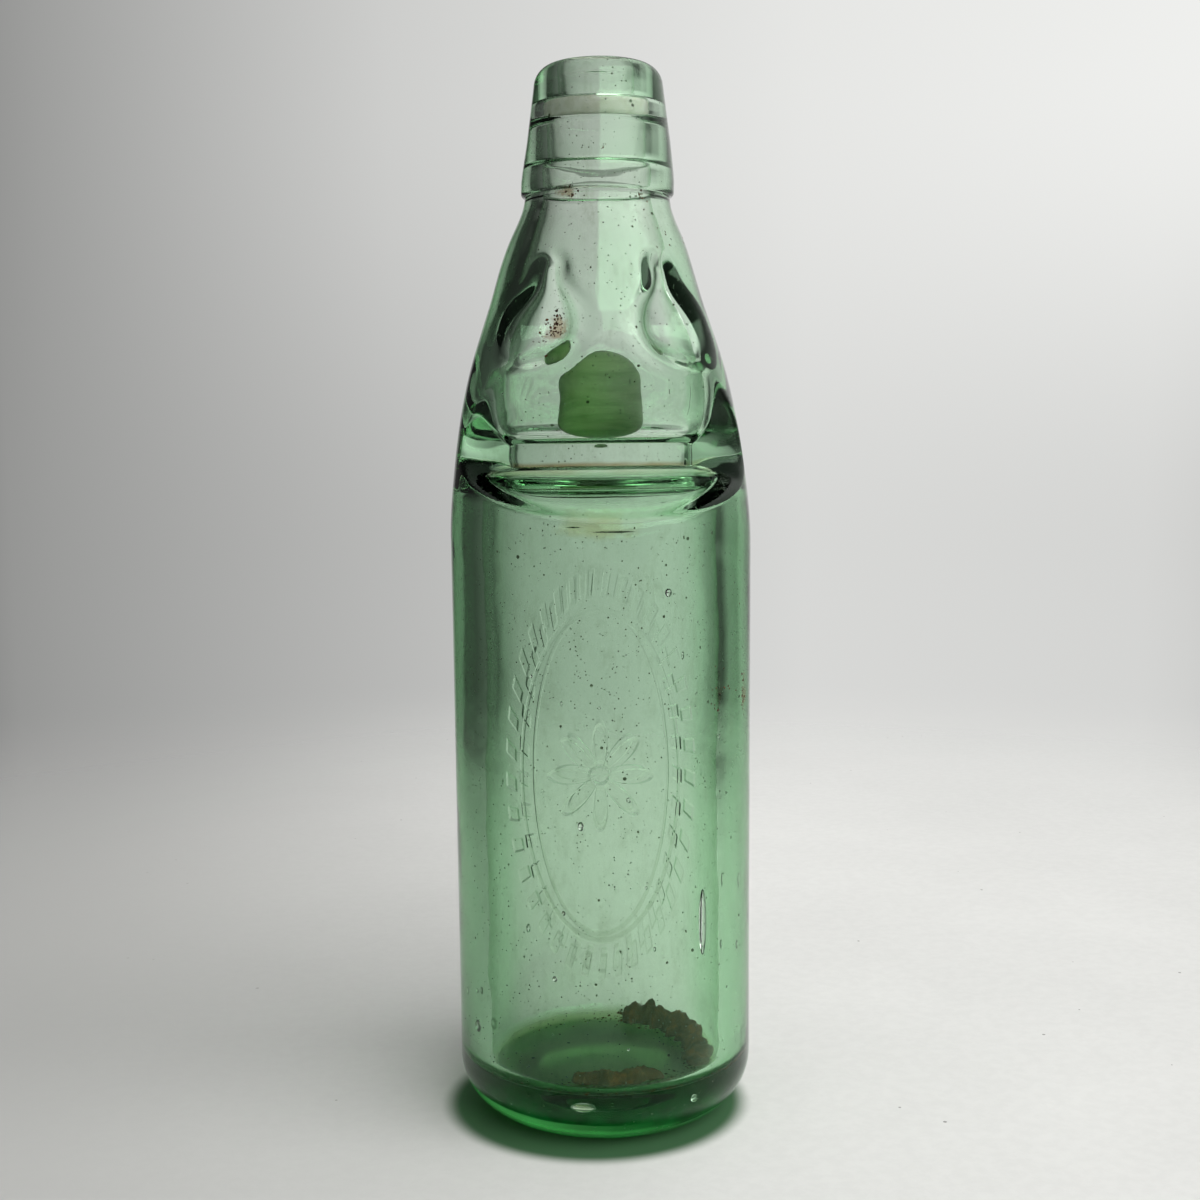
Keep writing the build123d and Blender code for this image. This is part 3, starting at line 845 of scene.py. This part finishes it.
def glass_material(settings, groups):
    """Old green bottle glass: clear, coloured through its depth, with dust, scuffs and faint relief,
    painted shade in the ornament's flanks and a painted glow in the thick base.
    """
    material, tree, shader, out, place = new_material("green_bottle_glass")
    x, y, z = split(tree, place)
    off_axis = length(tree, x, y)
    clumps = noise(tree, place, 55.0, 3.0)
    thick = stepped(tree, clumps, 0.30, 0.56)

    # a dried stain on the ledge, and smears
    at, stretch = (-0.004, -0.030, 0.1275), (110.0, 60.0, 420.0)
    stain = use(tree, groups, "patch", Vector=place, Place=at, Stretch=stretch, Raggedness=1.4)
    colour = blended(tree, times(tree, stain, 0.55), glass_tint(tree, settings, z), (0.80, 0.66, 0.36))
    smear = noise(tree, drawn_out(tree, place, (170.0, 170.0, 80.0)), 1.0, 7.0, 0.72)
    smeared = times(tree, stepped(tree, smear, 0.52, 0.74), settings.smears)
    colour = blended(tree, smeared, colour, (0.50, 0.51, 0.42))

    # a mottled film on the inner floor
    film = times(tree, stepped(tree, z, 0.0135, 0.0108), stepped(tree, z, 0.0085, 0.0095))
    film = times(tree, film, stepped(tree, off_axis, 0.0275, 0.0265))
    tinge = blended(tree, stepped(tree, clumps, 0.30, 0.70), (0.50, 0.60, 0.15), (0.26, 0.33, 0.07))
    colour = blended(tree, times(tree, film, 0.85), colour, tinge)

    # a brown line along the back of the ledge, and rusty patches
    line = times(tree, stepped(tree, z, 0.1368, 0.1382), stepped(tree, z, 0.1402, 0.1392))
    near = times(tree, stepped(tree, maths(tree, "ABSOLUTE", y), 0.0135, 0.0125), thick)
    colour = blended(tree, times(tree, times(tree, line, near), 0.6), colour, (0.55, 0.32, 0.12))
    for at, stretch in RUST_PATCHES:
        rusty = use(tree, groups, "patch", Vector=place, Place=at, Stretch=stretch, Raggedness=2.2)
        colour = blended(tree, times(tree, rusty, 0.85), colour, (0.36, 0.16, 0.055))

    # painted shade in the flanks of the ornament, more of it low down, and dust
    relief = relief_height(tree, place)
    flanks = times(tree, relief, minus(tree, 1.7, times(tree, relief, 1.6)))
    painted_relief_shade = times(tree, flanks, stepped(tree, z, 0.100, 0.055, 0.08, 1.0), clamp=True)
    colour = blended(tree, painted_relief_shade, colour, (0.50, 0.58, 0.44))
    fine = specks(tree, groups, place, 760.0, settings.dust, 0.11)
    coarse = specks(tree, groups, place, 240.0, settings.dust * 0.6, 0.07)
    dust = plus(tree, times(tree, fine, thick), coarse, clamp=True)
    colour = blended(tree, dust, colour, (0.03, 0.03, 0.018))

    # upright scuffs, and the roughness that all of it brings
    scuff = noise(tree, drawn_out(tree, place, (900.0, 900.0, 60.0)), 1.0, 5.0, 0.7)
    worn = times(tree, stepped(tree, scuff, 0.60, 0.72), stepped(tree, clumps, 0.40, 0.64))
    rough = plus(tree, times(tree, worn, 0.22), times(tree, dust, 0.5))
    rough = plus(tree, rough, times(tree, film, 0.35))

    # painted glow: a faint green emission in the thick base, broken up, standing in for light coming
    # through it
    painted_glow_share = times(tree, stepped(tree, z, 0.0125, 0.0065), stepped(tree, off_axis, 0.0180, 0.0240))
    painted_glow_share = times(tree, painted_glow_share, stepped(tree, noise(tree, place, 130.0, 5.0, 0.6), 0.30, 0.72, 0.15, 1.0))
    glow = blended(tree, painted_glow_share, (0.0, 0.0, 0.0), (0.0, 0.045, 0.006))
    tree.links.new(glow, shader.inputs["Emission Color"])
    shader.inputs["Emission Strength"].default_value = 1.0

    # slow waves of the surface, scuffs and the ornament
    height = plus(tree, times(tree, noise(tree, place, 90.0, 2.0), 0.8), times(tree, worn, -0.04))
    raised = times(tree, relief, stepped(tree, z, 0.110, 0.070, 0.6 * settings.relief, settings.relief))
    dress(tree, shader, colour, rough, plus(tree, height, raised), 0.35, 0.0003)
    make_clear(tree, shader, out, 1.0, 1.51, settings.losses)
    shader.inputs["Specular Tint"].default_value = (0.36, 0.66, 0.40, 1.0)
    return material


def marble_material(settings, groups):
    """Cloudy olive green glass, darker along faint level streaks, with dust on it."""
    material, tree, shader, out, place = new_material("cloudy_marble_glass")
    streak = noise(tree, drawn_out(tree, place, (60.0, 60.0, 700.0)), 1.0, 4.0, 0.6)
    colour = blended(tree, stepped(tree, streak, 0.3, 0.7), tuple(settings.light), tuple(settings.dark))
    dust = specks(tree, groups, place, 800.0, 0.6, 0.12)
    colour = blended(tree, times(tree, dust, 0.7), colour, (0.02, 0.03, 0.012))
    dress(tree, shader, colour, plus(tree, 0.28, times(tree, streak, 0.2)), streak, 0.15, 0.0002)
    make_clear(tree, shader, out, 0.75, 1.5, settings.losses)
    return material


def rubber_material(settings):
    """Old pale gum rubber, dull and a little mottled."""
    material, tree, shader, _, place = new_material("pale_gum_rubber")
    mottle = noise(tree, place, 600.0, 5.0, 0.6)
    r, g, b = settings.colour
    colour = blended(tree, stepped(tree, mottle, 0.35, 0.65), (r, g, b), (r * 0.86, g * 0.86, b * 0.80))
    rough = plus(tree, 0.55, times(tree, mottle, 0.3))
    dress(tree, shader, colour, rough, noise(tree, place, 3200.0, 2.0), 0.3, 0.0001)
    return material


def deposit_material(name, light, dark_share, grain):
    """Dry crusty dirt: two browns in a fine mottle, with a rough broken surface."""
    material, tree, shader, _, place = new_material(name)
    dark = tuple(value * dark_share for value in light)
    mottle = noise(tree, place, grain, 6.0, 0.7)
    lumps = noise(tree, place, grain * 0.2, 2.0)
    colour = blended(tree, stepped(tree, mottle, 0.35, 0.68), dark, tuple(light))
    colour = blended(tree, stepped(tree, lumps, 0.56, 0.44, 0.0, 0.75), colour, dark)
    dress(tree, shader, colour, plus(tree, 0.75, times(tree, mottle, 0.2)), mottle, 0.8, 0.0004)
    return material


# ---------------------------------------------------------------- settings

SHARE = {"min": 0.0, "max": 1.0, "subtype": "FACTOR"}
COLOUR = {"min": 0.0, "max": 1.0, "subtype": "COLOR"}
LOSSES = {
    "name": "Depth colour", "description": "Light lost per metre of glass, red, green and blue",
    "min": 0.0, "max": 100.0,
}


class GlassSettings(bpy.types.PropertyGroup):
    """Sizes and colours of the bottle's glass."""

    columns: bpy.props.IntProperty(
        name="Columns", description="Faces round the bottle", default=224, min=48, max=232
    )
    waviness: bpy.props.FloatProperty(
        name="Waviness", description="How uneven the blown walls are", default=1.0, min=0.0, max=2.0
    )
    relief: bpy.props.FloatProperty(
        name="Relief", description="Height of the faint ornament on the front",
        default=1.4, min=0.0, max=2.0
    )
    dust: bpy.props.FloatProperty(
        name="Dust", description="Share of places with a dark speck", default=0.7, **SHARE
    )
    smears: bpy.props.FloatProperty(
        name="Smears", description="Strength of the dried smears on the glass", default=0.45, **SHARE
    )
    losses: bpy.props.FloatVectorProperty(default=(48.0, 21.0, 44.0), **LOSSES)
    rim: bpy.props.FloatVectorProperty(
        name="Rim", description="Colour of the glass where it is seen edge on",
        default=(0.10, 0.34, 0.11), **COLOUR
    )


class MarbleSettings(bpy.types.PropertyGroup):
    """Sizes and colours of the marble."""

    unevenness: bpy.props.FloatProperty(
        name="Unevenness", description="Depth of the ball's slow waves, in millimetres",
        default=0.02, min=0.0, max=0.2
    )
    light: bpy.props.FloatVectorProperty(
        name="Light streaks", description="Colour between the streaks", default=(0.58, 0.72, 0.40), **COLOUR
    )
    dark: bpy.props.FloatVectorProperty(
        name="Dark streaks", description="Colour of the streaks", default=(0.27, 0.42, 0.17), **COLOUR
    )
    losses: bpy.props.FloatVectorProperty(default=(42.0, 22.0, 52.0), **LOSSES)


class RingSettings(bpy.types.PropertyGroup):
    """Sizes and colours of the seal ring."""

    wear: bpy.props.FloatProperty(
        name="Wear", description="Depth of the hollow worn by the marble, in millimetres",
        default=0.06, min=0.0, max=0.3
    )
    colour: bpy.props.FloatVectorProperty(
        name="Rubber", description="Colour of the rubber", default=(0.95, 0.94, 0.88), **COLOUR
    )


class DepositSettings(bpy.types.PropertyGroup):
    """Amounts and colours of the dried sediment and the rust."""

    grains: bpy.props.IntProperty(
        name="Grains", description="Loose grains on the inner floor", default=620, min=0, max=2000
    )
    crust: bpy.props.FloatVectorProperty(
        name="Crust", description="Colour of the dried sediment", default=(0.21, 0.075, 0.018), **COLOUR
    )
    rust: bpy.props.FloatVectorProperty(
        name="Rust", description="Colour of the rust specks", default=(0.16, 0.055, 0.018), **COLOUR
    )


class StudioSettings(bpy.types.PropertyGroup):
    """Sizes and levels of the studio."""

    floor_radius: bpy.props.FloatProperty(
        name="Floor radius", description="Where the floor has faded into the backdrop",
        default=0.62, min=0.1, unit="LENGTH"
    )
    floor: bpy.props.FloatVectorProperty(
        name="Floor", description="Colour of the floor", default=(0.84, 0.84, 0.825), **COLOUR
    )
    window: bpy.props.FloatProperty(
        name="Window", description="Level of the soft window at the right", default=4.3, min=0.0, max=10.0
    )


def settings_of(context, name):
    """A settings group of the scene."""
    return getattr(context.scene, "bottle_" + name)


def shared_groups():
    """The shader groups that more than one material uses, made once."""
    names = {"specks": ("dust_and_seeds", specks_group), "patch": ("ragged_patch", patch_group)}
    return {key: bpy.data.node_groups.get(name) or make() for key, (name, make) in names.items()}


# ---------------------------------------------------------------- operators

class BOTTLE_OT_glass(bpy.types.Operator):
    """Make the glass of the bottle"""

    bl_idname = "bottle.glass"
    bl_label = "Bottle glass"

    def execute(self, context):
        settings = settings_of(context, "glass")
        piece = make_glass(settings)
        piece.data.materials.append(glass_material(settings, shared_groups()))
        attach(piece, "bottle")
        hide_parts("glass_bottle")
        return {"FINISHED"}


class BOTTLE_OT_marble(bpy.types.Operator):
    """Make the marble"""

    bl_idname = "bottle.marble"
    bl_label = "Marble"

    def execute(self, context):
        settings = settings_of(context, "marble")
        piece = make_marble(settings)
        piece.data.materials.append(marble_material(settings, shared_groups()))
        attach(piece, "stopper")
        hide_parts("marble")
        return {"FINISHED"}


class BOTTLE_OT_ring(bpy.types.Operator):
    """Make the rubber seal ring in the lip"""

    bl_idname = "bottle.ring"
    bl_label = "Seal ring"

    def execute(self, context):
        settings = settings_of(context, "ring")
        piece = make_ring(settings)
        piece.data.materials.append(rubber_material(settings))
        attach(piece, "bottle")
        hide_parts("seal_ring")
        return {"FINISHED"}


class BOTTLE_OT_deposits(bpy.types.Operator):
    """Make the dried sediment on the inner floor and the rust specks on the glass"""

    bl_idname = "bottle.deposits"
    bl_label = "Sediment and rust"

    def execute(self, context):
        settings = settings_of(context, "deposits")
        crust = deposit_material("dried_sediment", settings.crust, 0.35, 900.0)
        piece = make_crust("sediment_crust", CRUST, 5)
        piece.data.materials.append(crust)
        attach(piece, "bottle")
        piece = make_grains("sediment_grains", *floor_grains(6, settings.grains, LUMPS), 7)
        piece.data.materials.append(crust)
        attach(piece, "bottle")
        piece = make_grains("rust_specks", *rust_grains(8, settings_of(context, "glass").waviness), 9)
        piece.data.materials.append(deposit_material("rust", settings.rust, 0.3, 1500.0))
        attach(piece, "bottle")
        return {"FINISHED"}


class BOTTLE_OT_studio(bpy.types.Operator):
    """Make the floor, the light and the camera"""

    bl_idname = "bottle.studio"
    bl_label = "Studio"

    def execute(self, context):
        settings = settings_of(context, "studio")
        make_floor(settings, shared_groups())
        make_world(context.scene, settings)
        make_camera(context.scene)
        context.scene.cycles.max_bounces = 32
        context.scene.cycles.transmission_bounces = 32
        context.scene.view_settings.view_transform = "Standard"
        return {"FINISHED"}


# The green shade under the bottle, in metres: its middle, and where it fades out and where it is full
SHADE_AT = (-0.0022, -0.0010, 0.0)
SHADE_EDGE = (0.0346, 0.0296)


def make_floor(settings, groups):
    """A pale round floor whose material fades into the backdrop towards its rim, with painted shade towards
    the left and the front and a painted green shadow under the bottle.
    """
    columns = 96
    reach = np.array([0.05, 0.15, 0.3, 0.5, 0.8, 1.2]) / MM
    rings = spun(reach[:, None], 0.0, even_turns(columns)).reshape(-1, 3)
    faces = wrapped_faces(len(reach), columns) + fan_faces(len(rings), 0, columns, True)
    corners = np.concatenate([rings, [[0, 0, 0]]])
    floor = mesh_piece("studio_floor", corners, [face[::-1] for face in faces])
    material, tree, shader, out, place = new_material("pale_paper_floor")
    x, y = split(tree, place)[:2]

    def times_floor(*levels):
        """The floor's colour times a level, or a level each for red, green and blue."""
        return tuple(np.array(settings.floor) * levels)

    colour = blended(tree, noise(tree, place, 14.0, 4.0, 0.6), times_floor(0.93), times_floor(1.07))
    fibres = stepped(tree, noise(tree, place, 300.0, 4.0, 0.7), 0.35, 0.65, 0.0, 0.05)
    colour = blended(tree, fibres, colour, (0.25, 0.25, 0.24))
    dirt = specks(tree, groups, place, 130.0, 0.30, 0.045)
    colour = blended(tree, times(tree, dirt, 0.7), colour, (0.12, 0.11, 0.10))
    # painted shade: darker towards the left and the front; and a painted green shadow where light comes
    # through the bottle
    colour = blended(tree, stepped(tree, x, 0.08, -0.20), colour, times_floor(0.54))
    colour = blended(tree, stepped(tree, y, -0.070, -0.300), colour, times_floor(0.45))
    distance = add(tree, "ShaderNodeVectorMath", {0: place}, operation="LENGTH").outputs["Value"]
    # painted green shadow under the bottle, for the light that comes through the green glass
    ends = {0: place, 1: SHADE_AT}
    beside = add(tree, "ShaderNodeVectorMath", ends, operation="DISTANCE").outputs["Value"]
    colour = blended(tree, stepped(tree, beside, *SHADE_EDGE), colour, times_floor(0.06, 0.15, 0.07))
    tree.links.new(colour, shader.inputs["Base Color"])
    shader.inputs["Roughness"].default_value = 0.8
    shader.inputs["Specular IOR Level"].default_value = 0.2
    clear = tree.nodes.new("ShaderNodeBsdfTransparent")
    share = stepped(tree, distance, settings.floor_radius * 0.3, settings.floor_radius)
    mix = add(tree, "ShaderNodeMixShader", {0: share, 1: shader.outputs[0], 2: clear.outputs[0]})
    tree.links.new(mix.outputs[0], out.inputs["Surface"])
    floor.data.materials.append(material)


VIEW_TURN = math.radians(-7.0)  # the camera's turn round the axis
# Levels of the backdrop: turn in degrees from the view's middle, level
LOW_LEVELS = (
    (-180, 0.36), (-140, 0.30), (-95, 0.30), (-64, 0.14), (-45, 0.08), (-25, 0.08), (-19.5, 0.31),
    (-7, 0.48), (7, 0.68), (19, 0.66), (26, 0.42), (44, 0.36), (54, 0.08), (70, 0.10), (95, 0.60),
    (130, 0.50), (180, 0.30),
)
MIDDLE_LEVELS = (
    (-180, 0.34), (-140, 0.28), (-95, 0.27), (-64, 0.12), (-45, 0.04), (-24, 0.03), (-19.5, 0.31),
    (-7, 0.61), (7, 0.79), (19, 0.86), (40, 0.86), (100, 0.80), (140, 0.40), (180, 0.22),
)
HIGH_LEVELS = (
    (-180, 0.16), (-110, 0.14), (-60, 0.03), (-24, 0.02), (-12, 0.12), (0, 0.32), (10, 0.50), (24, 0.75),
    (60, 0.85), (90, 0.60), (120, 0.20), (180, 0.16),
)


def make_world(scene, settings):
    """The backdrop and the light by direction. Levels are set by the turn from the view's middle at three
    heights: low, at the top of the view, and above it. A tall soft window stands at the front right."""
    world = bpy.data.worlds.new("studio_light")
    scene.world = world
    world.use_nodes = True
    tree = world.node_tree
    tree.nodes.clear()
    direction = tree.nodes.new("ShaderNodeTexCoord").outputs["Generated"]
    c, s = math.cos(VIEW_TURN), math.sin(VIEW_TURN)
    aside, ahead = (
        add(tree, "ShaderNodeVectorMath", {0: direction, 1: way}, operation="DOT_PRODUCT").outputs["Value"]
        for way in ((c, s, 0), (-s, c, 0))
    )
    upward = split(tree, direction)[2]
    share = ranged(tree, maths(tree, "ARCTAN2", aside, ahead), -math.pi, math.pi, 0.0, 1.0, "LINEAR")
    heights = (LOW_LEVELS, MIDDLE_LEVELS, HIGH_LEVELS)
    low, middle, high = (level_ramp(tree, share, stops) for stops in heights)
    light = blended(tree, stepped(tree, upward, -0.08, 0.20), low, middle)
    light = blended(tree, stepped(tree, upward, 0.25, 0.33), light, high)
    light = blended(tree, stepped(tree, upward, 0.70, 0.90), light, (0.50, 0.50, 0.50))
    sides = times(tree, stepped(tree, share, 0.72, 0.80), stepped(tree, share, 0.9995, 0.985))
    ends = times(tree, stepped(tree, upward, 0.24, 0.32), stepped(tree, upward, 0.88, 0.80))
    level = settings.window
    lit = blended(tree, times(tree, sides, ends), light, (level, level, level * 0.98))
    background = add(tree, "ShaderNodeBackground", {"Color": lit, "Strength": 1.0})
    out = tree.nodes.new("ShaderNodeOutputWorld")
    tree.links.new(background.outputs[0], out.inputs[0])


def level_ramp(tree, share, stops):
    """A colour ramp of near neutral levels at turns in degrees from the view's middle."""
    ramp = tree.nodes.new("ShaderNodeValToRGB")
    for _ in stops[2:]:
        ramp.color_ramp.elements.new(0.5)
    # all stops are placed before any is coloured, because the ramp sorts them
    for element, (degrees, _) in zip(ramp.color_ramp.elements, stops):
        element.position = (degrees + 180) / 360
    for element, (_, level) in zip(ramp.color_ramp.elements, stops):
        element.color = (level, level * 1.005, level * 0.985, 1)
    tree.links.new(share, ramp.inputs[0])
    return ramp.outputs[0]


def make_camera(scene):
    """The camera of the photograph: a little above the bottle's middle, turned slightly and tilted down."""
    data = bpy.data.cameras.new("photo_camera")
    data.sensor_width = 36.0
    data.lens = 49.5
    data.clip_start, data.clip_end = 0.01, 20.0
    camera = bpy.data.objects.new("photo_camera", data)
    scene.collection.objects.link(camera)
    distance, height = 0.3524, 0.1472
    tilt, roll, yaw = (math.radians(value) for value in (5.96, 0.52, 0.045))
    camera.location = (distance * math.sin(VIEW_TURN), -distance * math.cos(VIEW_TURN), height)
    turned = rotation("Z", VIEW_TURN + yaw) @ rotation("X", math.pi / 2 - tilt) @ rotation("Z", -roll)
    camera.rotation_mode = "QUATERNION"
    camera.rotation_quaternion = Matrix(turned.tolist()).to_quaternion()
    scene.camera = camera


def rotation(axis, angle):
    """A turn about one axis as a 3 by 3 matrix."""
    c, s = math.cos(angle), math.sin(angle)
    if axis == "X":
        return np.array([[1, 0, 0], [0, c, -s], [0, s, c]])
    return np.array([[c, -s, 0], [s, c, 0], [0, 0, 1]])


# ---------------------------------------------------------------- panel and registration

OPERATORS = (BOTTLE_OT_glass, BOTTLE_OT_marble, BOTTLE_OT_ring, BOTTLE_OT_deposits, BOTTLE_OT_studio)
SETTINGS = {
    "glass": GlassSettings, "marble": MarbleSettings, "ring": RingSettings, "deposits": DepositSettings,
    "studio": StudioSettings,
}


class BOTTLE_PT_panel(bpy.types.Panel):
    """The steps that make the bottle, each with its settings"""

    bl_idname = "BOTTLE_PT_panel"
    bl_label = "Marble stopper bottle"
    bl_space_type = "VIEW_3D"
    bl_region_type = "UI"
    bl_category = "Bottle"

    def draw(self, context):
        for operator, name in zip(OPERATORS, SETTINGS):
            box = self.layout.box()
            box.operator(operator.bl_idname)
            group_of = settings_of(context, name)
            for key in group_of.__annotations__:
                box.prop(group_of, key)


def register():
    """Register the classes and hang the settings on the scene."""
    for kind in (*SETTINGS.values(), *OPERATORS, BOTTLE_PT_panel):
        bpy.utils.register_class(kind)
    for name, kind in SETTINGS.items():
        setattr(bpy.types.Scene, "bottle_" + name, bpy.props.PointerProperty(type=kind))


def unregister():
    """Undo register."""
    for name in SETTINGS:
        delattr(bpy.types.Scene, "bottle_" + name)
    for kind in reversed((*SETTINGS.values(), *OPERATORS, BOTTLE_PT_panel)):
        bpy.utils.unregister_class(kind)


def main():
    """Make the studio and the bottle."""
    register()
    bpy.ops.bottle.studio()
    bpy.ops.bottle.glass()
    bpy.ops.bottle.marble()
    bpy.ops.bottle.ring()
    bpy.ops.bottle.deposits()
    bpy.context.view_layer.update()


if __name__ == "__main__":
    main()
